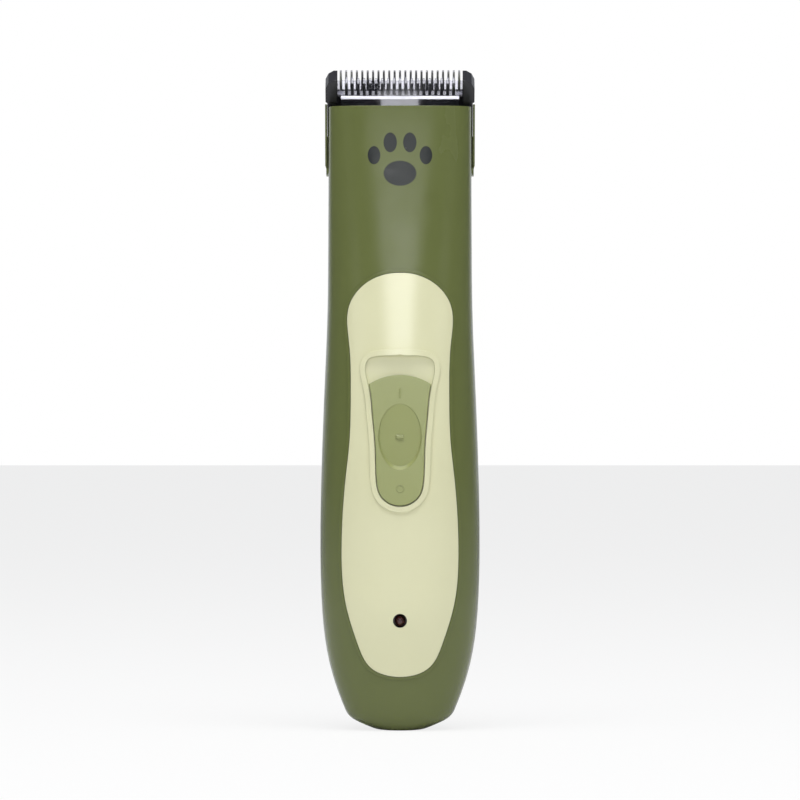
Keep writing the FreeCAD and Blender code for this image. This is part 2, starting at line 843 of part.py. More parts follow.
def motor_end_cap():
    plug = flat_round("can_radius - can_thick", "can_half_flat - can_thick",
                      "motor_low", "motor_low + end_cap_thick")
    return node(cut(plug, rod("z", "bush_radius", ("0", "200"), y="motor_y")), "motor_end_cap")


def motor_bushes():
    high = "motor_low + motor_long"
    spans = [("motor_low", "motor_low + end_cap_thick"), (high + " - can_thick", high + " + 1.5")]
    parts = []
    for low, top in spans:
        parts.append(cut(rod("z", "bush_radius", (low, top), y="motor_y"),
                         rod("z", "shaft_radius + slide_gap", (low + " - 1", top + " + 1"), y="motor_y")))
    return node(group(*parts), "motor_bushes")


def motor_magnets():
    low, high = "motor_low + 7", "motor_low + motor_long - 3"
    body = flat_round("can_radius - can_thick", "can_half_flat - can_thick", low, high)
    core = rod("z", "magnet_inner", ("0", "200"), y="motor_y")
    arcs = [common(cut(body, core), box(span(s, "3", "20"), ("-20", "20"), ("0", "200"))) for s in (1, -1)]
    return node(group(*arcs), "motor_magnets")


def motor_shaft():
    rod_low = "motor_low + 0.1"
    return node(group(rod("z", "shaft_radius", (rod_low, "cam_low + cam_tall - 0.5"), y="motor_y")),
                "motor_shaft")


def rotor_core():
    """Three-pole iron stack on the shaft."""
    low, high = "motor_low + 8", "motor_low + motor_long - 4"
    stack = rod("z", "rotor_radius", (low, high), y="motor_y")
    gaps = []
    for k in range(3):
        slot = box(("2.6", "9"), ("-0.9", "0.9"), (low + " - 1", high + " + 1"))
        turn = group(slot)
        turn.Placement = Placement(Vector(), Rotation(Vector(0, 0, 1), 30 + 120 * k))
        bind(turn, "Placement.Base.y", "motor_y")
        gaps.append(turn)
    bore = rod("z", "shaft_radius", (low + " - 1", high + " + 1"), y="motor_y")
    return node(cut(stack, bore, *gaps), "rotor_core")


def commutator():
    low, high = "motor_low + 3.2", "motor_low + 6.4"
    drum = rod("z", "commutator_radius", (low, high), y="motor_y")
    return node(cut(drum, rod("z", "shaft_radius", ("0", "300"), y="motor_y")), "commutator")


def motor_brushes():
    low, high = "motor_low + 4.0", "motor_low + 5.6"
    blades = [box(("-2.5", "5.5"), span(s, "2.45", "2.75"), (low, high)) for s in (1, -1)]
    feet = [box(("5.2", "5.5"), span(s, "2.45", "2.75"), ("motor_low + end_cap_thick", high))
            for s in (1, -1)]
    pairs = [join(blades[k], feet[k]) for k in range(2)]
    moved = group(*pairs)
    return node(at(moved, "0", "motor_y", "0"), "motor_brushes")


def motor_terminals():
    tags = [box(span(s, "5.2", "7.0"), ("motor_y - 0.2", "motor_y + 0.2"), ("motor_low - 2.4", "motor_low"))
            for s in (1, -1)]
    return node(group(*tags), "motor_terminals")


def motor_damper():
    """Rubber band round the can where the shell ribs press on it."""
    low, high = "motor_low + 4", "motor_low + 24"
    band = flat_round("can_radius + damper_thick", "can_half_flat + damper_thick", low, high)
    inside = flat_round("can_radius", "can_half_flat", low + " - 1", high + " + 1")
    return node(cut(band, inside), "motor_damper")


def motor_bracket():
    """Plastic deck that the motor is screwed to, held across the casing."""
    low = "motor_low + motor_long"
    deck = common(snug, box(WIDE, ("-30", "30"), (low, low + " + bracket_thick")))
    tools = [rod("z", "boss_radius + 0.05", ("0", "300"), y="motor_y")]
    for x in ("motor_screw_x", "-motor_screw_x"):
        tools.append(rod("z", "motor_screw_radius + 0.15", ("0", "300"), x=x, y="motor_y"))
    for s in (1, -1):
        tools.append(box(span(s, "can_radius + 1.5", "can_radius + 4.5"), ("4.0", "7.5"), ("0", "300")))
    return node(cut(deck, *tools), "motor_bracket")


def motor_screws():
    low = "motor_low + motor_long"
    screws = []
    for x in ("motor_screw_x", "-motor_screw_x"):
        shank = rod("z", "motor_screw_radius", (low + " - 2.4", low + " + bracket_thick + 0.2"),
                    x=x, y="motor_y")
        head = rod("z", "motor_screw_head", (low + " + bracket_thick", low + " + bracket_thick + 1.1"),
                   x=x, y="motor_y")
        screws.append(join(shank, head))
    return node(group(*screws), "motor_screws")


def eccentric_cam():
    high = "cam_low + cam_tall"
    drum = rod("z", "cam_radius", ("cam_low", high), y="motor_y")
    shaft_hole = rod("z", "shaft_radius", ("cam_low - 1", high + " - 0.5"), y="motor_y")
    pin_hole = rod("z", "pin_radius", ("cam_low + 2.2", high + " + 1"), x="throw + crank", y="motor_y")
    return node(cut(drum, shaft_hole, pin_hole), "eccentric_cam")


def drive_pin():
    """Cranked pin: its foot sits in the cam and its tip runs in the fork."""
    high = "cam_low + cam_tall"
    foot = rod("z", "pin_radius", ("cam_low + 2.2", high + " + 1.0"), x="throw + crank", y="motor_y")
    knee = box(("throw - pin_radius", "throw + crank + pin_radius"),
               ("motor_y - pin_radius", "motor_y + pin_radius"), (high + " + 0.1", high + " + 1.5"))
    tip = rod("z", "pin_radius", (high + " + 0.1", "pin_top"), x="throw", y="motor_y")
    return node(join(foot, knee, tip), "drive_pin")


# ---------------------------------------------------------------- head


def head_seat():
    """Black deck in the mouth of the casing that the head rocks on."""
    slab = [("-10.6", "case_height - 2.4"), ("-10.6", "case_height - 4.4"),
            ("3.0", "case_height - 13.6"), ("5.2", "case_height - 13.6"),
            ("5.2", "case_height - 12.0"), ("4.4", "case_height - 11.2")]
    deck = common(neck, prism("yz", slab, *WIDE))
    feet = []
    eyes = []
    for s in (1, -1):
        across = span(s, "bearing_in", "bearing_out")
        eyes.append(rod("x", "bearing_radius", across, y="hinge_y", z="hinge_z"))
        feet.append(prism("yz", [("3.0", "case_height - 13.6"), ("4.6", "case_height - 11.6"),
                                 ("hinge_y - 2.1", "hinge_z + 1.2"), ("hinge_y", "hinge_z"),
                                 ("hinge_y", "hinge_z - 2.3"), ("hinge_y - 1.2", "case_height - 13.6")],
                          *across))
    blocks = join(*eyes, *feet)
    window = box(("-fork_half - stroke - 0.6", "fork_half + stroke + 0.6"),
                 ("motor_y - 4.2", "motor_y + 3.8"), ("0", "300"))
    bores = rod("x", "trunnion_radius + 0.05", WIDE, y="hinge_y", z="hinge_z")
    return node(cut(join(deck, blocks), window, bores), "head_seat")


def leaned(item, name=None):
    turned(item, "hinge_y", "hinge_z", "head_lean")
    return node(item, name) if name else item


def blade_carrier():
    """Black frame of the head: hinge bar, side arms and end cheeks."""
    bar = prism("yz", [("-3.2", "-0.6"), ("-3.2", "7.5"), ("cut_plane", "7.5"), ("cut_plane", "fixed_low"),
                       ("fixed_thick + cut_plane", "fixed_low - 0.15"), ("fixed_thick + cut_plane", "0.2"),
                       ("1.2", "-1.6"), ("-1.2", "-2.0")],
                "-bearing_in + 0.3", "bearing_in - 0.3")
    beam = box(("-cheek_in + 0.7", "cheek_in - 0.7"), ("-3.2", "cut_plane"), ("3.0", "7.5"))
    trunnion = rod("x", "trunnion_radius", ("-bearing_out + 0.1", "bearing_out - 0.1"))
    parts = [bar, beam, trunnion]
    for s in (1, -1):
        parts.append(box(span(s, "cheek_in - 0.9", "arm_out"), ("-2.3", "fixed_thick + cut_plane"),
                         ("3.0", "17")))
        cheek = [("cheek_front", "15.35"), ("cheek_front", "cheek_top"),
                 ("fixed_thick + cut_plane", "cheek_top"), ("fixed_thick + cut_plane", "11.7")]
        side = prism("yz", cheek, *span(s, "cheek_in", "cheek_out"))
        front = [("cheek_in", "11"), ("cheek_out - 1.5", "11"), ("cheek_out - 1.5", "14.0"),
                 ("cheek_out", "15.6"), ("cheek_out", "cheek_top - 2.6"),
                 ("cheek_out - 0.8", "cheek_top - 0.9"), ("cheek_out - 2.2", "cheek_top"),
                 ("cheek_in", "cheek_top")]
        parts.append(common(side, prism("xz", front if s > 0 else mirrored(front), "-9", "9")))
    blade_room = join(box(("-blade_half - 0.02", "blade_half + 0.02"), ("cut_plane", "10"),
                          ("fixed_low - 0.02", "shoulder_high + 0.02")),
                      box(("-cheek_in - 0.02", "cheek_in + 0.02"), ("cut_plane", "10"),
                          ("shoulder_high", "40")))
    slide_room = join(box(("-moving_half - stroke - 0.2", "moving_half + stroke + 0.2"),
                          ("cut_plane - moving_thick - 0.1", "cut_plane + 0.1"),
                          ("corner_low - 0.4", "moving_root + 0.3")),
                      box(("-cheek_in - 0.02", "cheek_in + 0.02"),
                          ("cut_plane - moving_thick - 0.1", "cut_plane + 0.1"), ("moving_root", "40")))
    holes = [rod("y", "blade_screw_radius + 0.05", ("-3.0", "5"), x=x, z="blade_screw_z")
             for x in ("blade_screw_x", "-blade_screw_x")]
    return leaned(cut(join(*parts), blade_room, slide_room, *holes), "blade_carrier")


def comb_slots(count, pitch, wide, low, high):
    """The gaps between the teeth of a blade."""
    slots = []
    for k in range(count):
        centre = "(%s) * %s" % (k - (count - 1) / 2, pitch)
        slots.append(box(("%s - %s / 2" % (centre, wide), "%s + %s / 2" % (centre, wide)), ("-9", "9"),
                         (low, high)))
    return join(*slots)


def fixed_blade():
    back = "fixed_thick + cut_plane"
    plan = [("cut_plane", "fixed_low"), (back, "fixed_low"), (back, "17.0"),
            ("cut_plane + 0.7", "fixed_tip"), ("cut_plane", "fixed_tip")]
    plate = prism("yz", plan, "-blade_half", "blade_half")
    sides = [box(span(s, "cheek_in", "40"), ("-9", "9"), ("shoulder_high", "60")) for s in (1, -1)]
    holes = [rod("y", "blade_screw_radius + 0.1", ("-3", "5"), x=x, z="blade_screw_z")
             for x in ("blade_screw_x", "-blade_screw_x")]
    ramp = prism("yz", [("-9", "fixed_root"), ("cut_plane", "fixed_root"), (back, "fixed_root + slot_ramp"),
                        ("9", "fixed_root + slot_ramp"), ("9", "60"), ("-9", "60")], *WIDE)
    slots = common(comb_slots(24, "fixed_pitch", "fixed_pitch * 0.48", "fixed_root - 1", "60"), ramp)
    return leaned(cut(plate, slots, *sides, *holes), "fixed_blade")


def blade_screws():
    screws = []
    back = "fixed_thick + cut_plane"
    for x in ("blade_screw_x", "-blade_screw_x"):
        shank = rod("y", "blade_screw_radius", ("-2.6", back + " + 0.2"), x=x, z="blade_screw_z")
        head = rod("y", "blade_screw_head", (back, back + " + blade_screw_tall"), x=x, z="blade_screw_z")
        cross = join(box((x + " - 1.3", x + " + 1.3"), (back + " + 0.4", "9"),
                         ("blade_screw_z - 0.2", "blade_screw_z + 0.2")),
                     box((x + " - 0.2", x + " + 0.2"), (back + " + 0.4", "9"),
                         ("blade_screw_z - 1.3", "blade_screw_z + 1.3")))
        screws.append(cut(join(shank, head), cross))
    return leaned(group(*screws), "blade_screws")


def moving_blade():
    face = "cut_plane - slide_gap"
    plan = [(face, "moving_low"), (face, "moving_tip"), (face + " - 0.5", "moving_tip"),
            (face + " - tooth_thick", "moving_tip - 1.0"), (face + " - tooth_thick", "moving_step"),
            (face + " - moving_thick", "moving_step - step_drop"), (face + " - moving_thick", "moving_low")]
    plate = prism("yz", plan, "-moving_half", "moving_half")
    corners = [box(span(s, "tongue_half", "30"), ("-9", "9"), ("0", "corner_low")) for s in (1, -1)]
    ends = [box(span(s, "comb_half", "30"), ("-9", "9"), ("moving_root", "60")) for s in (1, -1)]
    ramp = prism("yz", [("-9", "moving_root"), (face + " - tooth_thick", "moving_root"),
                        (face, "moving_root + root_ramp"), ("9", "moving_root + root_ramp"),
                        ("9", "60"), ("-9", "60")], *WIDE)
    slots = common(comb_slots(20, "moving_pitch", "moving_pitch * 0.45", "moving_root - 1", "60"), ramp)
    return leaned(cut(plate, slots, *corners, *ends), "moving_blade")


def placed(along, up):
    """World Y and Z of a point given in the head's own lean."""
    return ("hinge_y + (%s) * cos(head_lean) - (%s) * sin(head_lean)" % (along, up),
            "hinge_z + (%s) * sin(head_lean) + (%s) * cos(head_lean)" % (along, up))


def drive_fork():
    """Plastic fork on the moving blade; the motor's pin runs between its prongs."""
    front = "cut_plane - slide_gap - moving_thick"
    plan = [placed(front, "8.6"), placed(front, "12.6"), ("motor_y - 3.0", "case_height - 1.8"),
            ("motor_y - 3.0", "fork_low"), ("motor_y + 2.4", "fork_low"),
            ("motor_y + 2.4", "case_height - 4.6")]
    block = prism("yz", plan, "-fork_half", "fork_half")
    gap = box(("-fork_gap", "fork_gap"), ("-30", "30"), ("0", "pin_top + 0.8"))
    return node(cut(block, gap), "drive_fork")


def blade_spring():
    """Two leaf fingers from the bar that press the moving blade on."""
    rest = "cut_plane - slide_gap - moving_thick - 0.02"
    plan = [("-3.2", "3.4"), ("-3.2", "7.8"), (rest, "9.8"), (rest, "10.6"), ("-2.9", "11.6"),
            ("-3.2", "11.4"), (rest + " - 0.36", "10.5"), (rest + " - 0.36", "9.9"),
            ("-3.55", "7.9"), ("-3.55", "3.4")]
    fingers = [prism("yz", plan, *span(s, "7.6", "11.2")) for s in (1, -1)]
    tie = box(("-11.2", "11.2"), ("-3.55", "-3.2"), ("3.4", "5.4"))
    return leaned(join(tie, *fingers), "blade_spring")


def latch_spring():
    """Bent steel strip on the deck; its hump holds the head's foot shut."""
    plan = [("4.4", "case_height - 11.2 + 0.02"), ("1.0", "case_height - 9.1"), ("1.0", "case_height - 8.8"),
            ("3.9", "case_height - 9.2"), ("4.8", "case_height - 10.6")]
    strips = [prism("yz", plan, *span(s, "13.0", "15.4")) for s in (1, -1)]
    return node(group(*strips), "latch_spring")


def housing_screws():
    screws = []
    for x, z in SCREW_SPOTS:
        seat = SCREW_SEAT[z]
        shank = rod("y", "screw_radius", ("-6.8", seat + " + 0.2"), x=x, z=z)
        head = rod("y", "screw_head", (seat, seat + " + 1.5"), x=x, z=z)
        cross = join(box((x + " - 1.4", x + " + 1.4"), (seat + " + 0.7", seat + " + 3"),
                         (z + " - 0.3", z + " + 0.3")),
                     box((x + " - 0.3", x + " + 0.3"), (seat + " + 0.7", seat + " + 3"),
                         (z + " - 1.4", z + " + 1.4")))
        screws.append(cut(join(shank, head), cross))
    return node(group(*screws), "housing_screws")


# ---------------------------------------------------------------- wiring


def wire(stops, bend, name):
    """Insulated lead: straight runs joined by round bends."""
    points = [Vector(*stop) for stop in stops]
    edges = []
    start = points[0]
    for k in range(1, len(points) - 1):
        before = (points[k - 1] - points[k]).normalize()
        after = (points[k + 1] - points[k]).normalize()
        half = before.getAngle(after) / 2
        reach = bend / math.tan(half)
        enter = points[k] + before * reach
        leave = points[k] + after * reach
        centre = points[k] + (before + after).normalize() * (bend / math.sin(half))
        middle = centre + (points[k] - centre).normalize() * bend
        edges.append(Part.makeLine(start, enter))
        edges.append(Part.Arc(enter, middle, leave).toShape())
        start = leave
    edges.append(Part.makeLine(start, points[-1]))
    path = Part.Wire(edges)
    direction = (points[1] - points[0]).normalize()
    profile = Part.Wire([Part.makeCircle(size("wire_radius"), points[0], direction)])
    return node(feature(path.makePipeShell([profile], True, False), name), name)


def leads():
    """Leads run forward and turn along the back of the board to their pads."""
    run = size("wire_radius")
    board = size("board_front_y") + size("board_thick") + run + 0.02
    tab = size("cell_low") + size("cell_long") + 1.12 + run
    jack = size("wall") + 0.15 + size("jack_long") + 0.8
    motor = size("motor_low") - 1.3
    for side, colour in ((1, "red"), (-1, "black")):
        x = side * size("cell_x")
        wire([(x, size("cell_y"), tab), (x, board, tab), (x, board, tab - 9)], 2.5, "cell_lead_" + colour)
        x = side * 1.7
        wire([(x, size("jack_y") - 0.22 - run, jack), (x, board, jack), (x, board, size("board_low") + 8)],
             3.0, "jack_lead_" + colour)
        x = side * 6.1
        wire([(x, size("motor_y") - 0.22 - run, motor), (x, board, motor),
              (x, board, size("board_high") - 8)],
             2.5, "motor_lead_" + colour)


for build in (front_shell, rear_shell, front_panel, switch_button, switch_carriage, slide_switch_lever,
              slide_switch_body, circuit_board, board_screws, indicator_led, board_parts, battery_cells,
              cell_tabs, dc_jack, jack_pin, jack_terminals, motor_can, motor_end_cap, motor_bushes,
              motor_magnets, motor_shaft, rotor_core, commutator, motor_brushes, motor_terminals,
              motor_damper, motor_bracket, motor_screws, eccentric_cam, drive_pin, head_seat,
              blade_carrier, fixed_blade, blade_screws, moving_blade, drive_fork, blade_spring,
              latch_spring, housing_screws, leads):
    build()
doc.recompute()

for item in doc.Objects:
    if "Invalid" in item.State or "Error" in item.State:
        raise RuntimeError("cannot build %s" % item.Label)
for item in NODES:
    if item.Shape.isNull() or not item.Shape.isValid():
        raise RuntimeError("bad shape in %s" % item.Label)
    item.Shape.exportStep("parts/%s.step" % item.Label)
    print("%-22s solids %d volume %9.1f" % (item.Label, len(item.Shape.Solids), item.Shape.Volume))
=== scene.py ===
import json
import math

import bmesh
import bpy
from mathutils import Matrix, Vector


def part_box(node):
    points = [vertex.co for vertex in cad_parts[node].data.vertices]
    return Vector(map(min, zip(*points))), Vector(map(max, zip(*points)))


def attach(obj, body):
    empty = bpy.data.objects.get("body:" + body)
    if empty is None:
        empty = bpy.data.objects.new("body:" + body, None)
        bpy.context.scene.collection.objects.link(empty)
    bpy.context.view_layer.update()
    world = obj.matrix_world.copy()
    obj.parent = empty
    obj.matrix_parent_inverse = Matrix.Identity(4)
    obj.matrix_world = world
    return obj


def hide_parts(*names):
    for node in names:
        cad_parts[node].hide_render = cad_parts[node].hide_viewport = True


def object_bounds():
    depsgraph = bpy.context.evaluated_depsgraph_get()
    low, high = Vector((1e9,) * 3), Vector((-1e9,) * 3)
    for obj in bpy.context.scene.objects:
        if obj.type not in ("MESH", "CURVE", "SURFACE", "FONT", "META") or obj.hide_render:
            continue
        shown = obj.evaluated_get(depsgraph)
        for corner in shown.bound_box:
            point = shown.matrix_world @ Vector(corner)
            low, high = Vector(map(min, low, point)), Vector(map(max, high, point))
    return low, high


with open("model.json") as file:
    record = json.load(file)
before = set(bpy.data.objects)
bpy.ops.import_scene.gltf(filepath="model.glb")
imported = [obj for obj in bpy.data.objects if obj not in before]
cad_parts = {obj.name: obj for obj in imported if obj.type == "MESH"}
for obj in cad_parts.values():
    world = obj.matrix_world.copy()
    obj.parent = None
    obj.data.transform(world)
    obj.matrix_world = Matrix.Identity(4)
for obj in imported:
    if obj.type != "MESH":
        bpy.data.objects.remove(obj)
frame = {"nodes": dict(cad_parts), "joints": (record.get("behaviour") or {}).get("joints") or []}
cad_low, cad_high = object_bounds()
MM = 0.001

# ---------------------------------------------------------------- camera and studio
# A long lens level with the middle of the body, square to the switch side.
# The room is an even pale studio with one box above the camera, one overhead
# and a faint one at each side.

LENS = 250.0
SENSOR = 36.0
FRAME_WIDTH = 0.214
SOFT_BOXES = [
    # name, place, point it faces, width, height, brightness of its face
    ("front_box", (0, -1.45, 0.47), (0, 0, 0.10), 0.42, 0.38, 3.6),
    ("top_box", (0, -0.50, 1.25), (0, 0, 0.16), 1.2, 0.9, 4.3),
    ("left_box", (-1.1, -1.1, 0.60), (0, 0, 0.09), 0.5, 0.7, 0.4),
    ("right_box", (1.1, -1.1, 0.60), (0, 0, 0.09), 0.5, 0.7, 0.4),
]
FILL_TINT = (0.92, 0.95, 1.0, 1)
FILL_FRONT = 0.20
FILL_BACK = 0.85
FILL_TURN = 0.6
WHITE = (1, 1, 1, 1)
FLOOR_COLOUR = (0.95, 0.95, 0.95, 1)
FLOOR_HALF = 6.0
FLOOR_BOUNCE = 0.02
FLOOR_SHOWN_WHITE = 0.8

middle_height = (cad_low.z + cad_high.z) / 2
camera_data = bpy.data.cameras.new("camera")
camera_data.lens = LENS
camera_data.sensor_width = SENSOR
camera_data.clip_start = 0.05
camera_data.clip_end = 50
camera = bpy.data.objects.new("camera", camera_data)
camera.location = (0, -FRAME_WIDTH * LENS / SENSOR, middle_height)
camera.rotation_euler = (math.pi / 2, 0, 0)
bpy.context.scene.collection.objects.link(camera)
bpy.context.scene.camera = camera
bpy.context.scene.view_settings.view_transform = "Standard"


def soft_box(name, place, aim, width, height, radiance):
    """An area light whose face has the given brightness."""
    lamp = bpy.data.lights.new(name, "AREA")
    lamp.shape = "RECTANGLE"
    lamp.size = width
    lamp.size_y = height
    lamp.energy = radiance * math.pi * width * height
    holder = bpy.data.objects.new(name, lamp)
    holder.location = place
    holder.rotation_euler = (Vector(aim) - Vector(place)).to_track_quat("-Z", "Y").to_euler()
    bpy.context.scene.collection.objects.link(holder)


for box in SOFT_BOXES:
    soft_box(*box)

studio = bpy.data.worlds.new("studio")
bpy.context.scene.world = studio
studio.use_nodes = True
room = studio.node_tree
room.nodes.clear()
room_out = room.nodes.new("ShaderNodeOutputWorld")
room_mix = room.nodes.new("ShaderNodeMixShader")
room_eye = room.nodes.new("ShaderNodeLightPath")
room_way = room.nodes.new("ShaderNodeTexCoord")
room_axes = room.nodes.new("ShaderNodeSeparateXYZ")
room_depth = room.nodes.new("ShaderNodeMapRange")
room_depth.inputs["From Min"].default_value = FILL_TURN
room_depth.inputs["From Max"].default_value = 1.0
room_depth.inputs["To Min"].default_value = FILL_FRONT
room_depth.inputs["To Max"].default_value = FILL_BACK
room_fill = room.nodes.new("ShaderNodeBackground")
room_fill.inputs["Color"].default_value = FILL_TINT
room_white = room.nodes.new("ShaderNodeBackground")
room_white.inputs["Color"].default_value = WHITE
room_white.inputs["Strength"].default_value = 1.0
room.links.new(room_way.outputs["Generated"], room_axes.inputs[0])
room.links.new(room_axes.outputs["Y"], room_depth.inputs["Value"])
room.links.new(room_depth.outputs["Result"], room_fill.inputs["Strength"])
room.links.new(room_eye.outputs["Is Camera Ray"], room_mix.inputs["Fac"])
room.links.new(room_fill.outputs[0], room_mix.inputs[1])
room.links.new(room_white.outputs[0], room_mix.inputs[2])
room.links.new(room_mix.outputs[0], room_out.inputs["Surface"])

floor_mesh = bpy.data.meshes.new("floor")
floor_bm = bmesh.new()
bmesh.ops.create_grid(floor_bm, x_segments=1, y_segments=1, size=FLOOR_HALF)
floor_bm.to_mesh(floor_mesh)
floor_bm.free()
floor = bpy.data.objects.new("floor", floor_mesh)
bpy.context.scene.collection.objects.link(floor)
floor_paint = bpy.data.materials.new("pale_floor")
floor_paint.use_nodes = True
floor_shader = floor_paint.node_tree.nodes["Principled BSDF"]
floor_shader.inputs["Base Color"].default_value = FLOOR_COLOUR
floor_shader.inputs["Roughness"].default_value = 0.8
floor_shader.inputs["Specular IOR Level"].default_value = 0.1
floor_shader.inputs["Emission Color"].default_value = WHITE
floor_shader.inputs["Emission Strength"].default_value = FLOOR_BOUNCE
floor_nodes, floor_links = floor_paint.node_tree.nodes, floor_paint.node_tree.links
floor_glow = floor_nodes.new("ShaderNodeEmission")
floor_glow.inputs["Color"].default_value = WHITE
floor_eye = floor_nodes.new("ShaderNodeLightPath")
floor_share = floor_nodes.new("ShaderNodeMath")
floor_share.operation = "MULTIPLY"
floor_share.inputs[1].default_value = FLOOR_SHOWN_WHITE
floor_mix = floor_nodes.new("ShaderNodeMixShader")
floor_links.new(floor_eye.outputs["Is Camera Ray"], floor_share.inputs[0])
floor_links.new(floor_share.outputs[0], floor_mix.inputs["Fac"])
floor_links.new(floor_shader.outputs[0], floor_mix.inputs[1])
floor_links.new(floor_glow.outputs[0], floor_mix.inputs[2])
floor_links.new(floor_mix.outputs[0], floor_nodes["Material Output"].inputs["Surface"])
floor_mesh.materials.append(floor_paint)

# ---------------------------------------------------------------- moulded plastic
# The casing is two shells of olive green plastic with a polished mould finish.
# Shared effects: a fine moulding grain and the faint haze that handling leaves.


def socket(group, name, kind, way, value=None):
    item = group.interface.new_socket(name=name, in_out=way, socket_type=kind)
    if value is not None:
        item.default_value = value
    return item


def grain_group():
    """Fine uneven height of a moulded surface, with slow waves below it."""
    group = bpy.data.node_groups.new("moulding_grain", "ShaderNodeTree")
    socket(group, "Vector", "NodeSocketVector", "INPUT")
    socket(group, "Grain Scale", "NodeSocketFloat", "INPUT", 2500.0)
    socket(group, "Wave Scale", "NodeSocketFloat", "INPUT", 60.0)
    socket(group, "Wave Part", "NodeSocketFloat", "INPUT", 0.5)
    socket(group, "Height", "NodeSocketFloat", "OUTPUT")
    socket(group, "Haze", "NodeSocketFloat", "OUTPUT")
    nodes, links = group.nodes, group.links
    enter = nodes.new("NodeGroupInput")
    leave = nodes.new("NodeGroupOutput")
    fine = nodes.new("ShaderNodeTexNoise")
    fine.inputs["Detail"].default_value = 2
    slow = nodes.new("ShaderNodeTexNoise")
    slow.inputs["Detail"].default_value = 3
    haze = nodes.new("ShaderNodeTexNoise")
    haze.inputs["Scale"].default_value = 140
    haze.inputs["Detail"].default_value = 6
    haze.inputs["Roughness"].default_value = 0.62
    blend = nodes.new("ShaderNodeMix")
    for noise in (fine, slow, haze):
        links.new(enter.outputs["Vector"], noise.inputs["Vector"])
    links.new(enter.outputs["Grain Scale"], fine.inputs["Scale"])
    links.new(enter.outputs["Wave Scale"], slow.inputs["Scale"])
    links.new(enter.outputs["Wave Part"], blend.inputs["Factor"])
    links.new(fine.outputs["Fac"], blend.inputs["A"])
    links.new(slow.outputs["Fac"], blend.inputs["B"])
    links.new(blend.outputs["Result"], leave.inputs["Height"])
    links.new(haze.outputs["Fac"], leave.inputs["Haze"])
    return group


def scuff_group():
    """A mask of thin, sparse, wandering scratches."""
    group = bpy.data.node_groups.new("hair_scratches", "ShaderNodeTree")
    socket(group, "Vector", "NodeSocketVector", "INPUT")
    socket(group, "Scale", "NodeSocketFloat", "INPUT", 90.0)
    socket(group, "Amount", "NodeSocketFloat", "INPUT", 0.5)
    socket(group, "Mask", "NodeSocketFloat", "OUTPUT")
    nodes, links = group.nodes, group.links
    enter = nodes.new("NodeGroupInput")
    leave = nodes.new("NodeGroupOutput")
    bend = nodes.new("ShaderNodeTexNoise")
    bend.inputs["Scale"].default_value = 35
    stretch = nodes.new("ShaderNodeMapping")
    stretch.inputs["Scale"].default_value = (1.0, 1.0, 0.07)
    stretch.inputs["Rotation"].default_value = (0.1, 0.35, 0.0)
    lines = nodes.new("ShaderNodeTexNoise")
    lines.inputs["Detail"].default_value = 3
    lines.inputs["Distortion"].default_value = 0.3
    edge = nodes.new("ShaderNodeMapRange")
    edge.inputs["From Min"].default_value = 0.67
    edge.inputs["From Max"].default_value = 0.72
    where = nodes.new("ShaderNodeMath")
    where.operation = "MULTIPLY"
    sparse = nodes.new("ShaderNodeMath")
    sparse.operation = "MULTIPLY"
    links.new(enter.outputs["Vector"], stretch.inputs["Vector"])
    links.new(enter.outputs["Vector"], bend.inputs["Vector"])
    links.new(stretch.outputs["Vector"], lines.inputs["Vector"])
    links.new(enter.outputs["Scale"], lines.inputs["Scale"])
    links.new(lines.outputs["Fac"], edge.inputs["Value"])
    links.new(edge.outputs["Result"], where.inputs[0])
    links.new(bend.outputs["Fac"], where.inputs[1])
    links.new(where.outputs["Value"], sparse.inputs[0])
    links.new(enter.outputs["Amount"], sparse.inputs[1])
    links.new(sparse.outputs["Value"], leave.inputs["Mask"])
    return group


GRAIN = grain_group()
SCRATCH = scuff_group()
GRAIN_SCALE = 2500.0
GRAIN_HEIGHT = 0.00004
HAZE_SPREAD = (0.82, 1.2)
SCRATCH_DULLING = 0.35
COAT_ROUGHNESS = 0.12
EDGE_RADIUS = 0.0003
EDGE_SAMPLES = 6


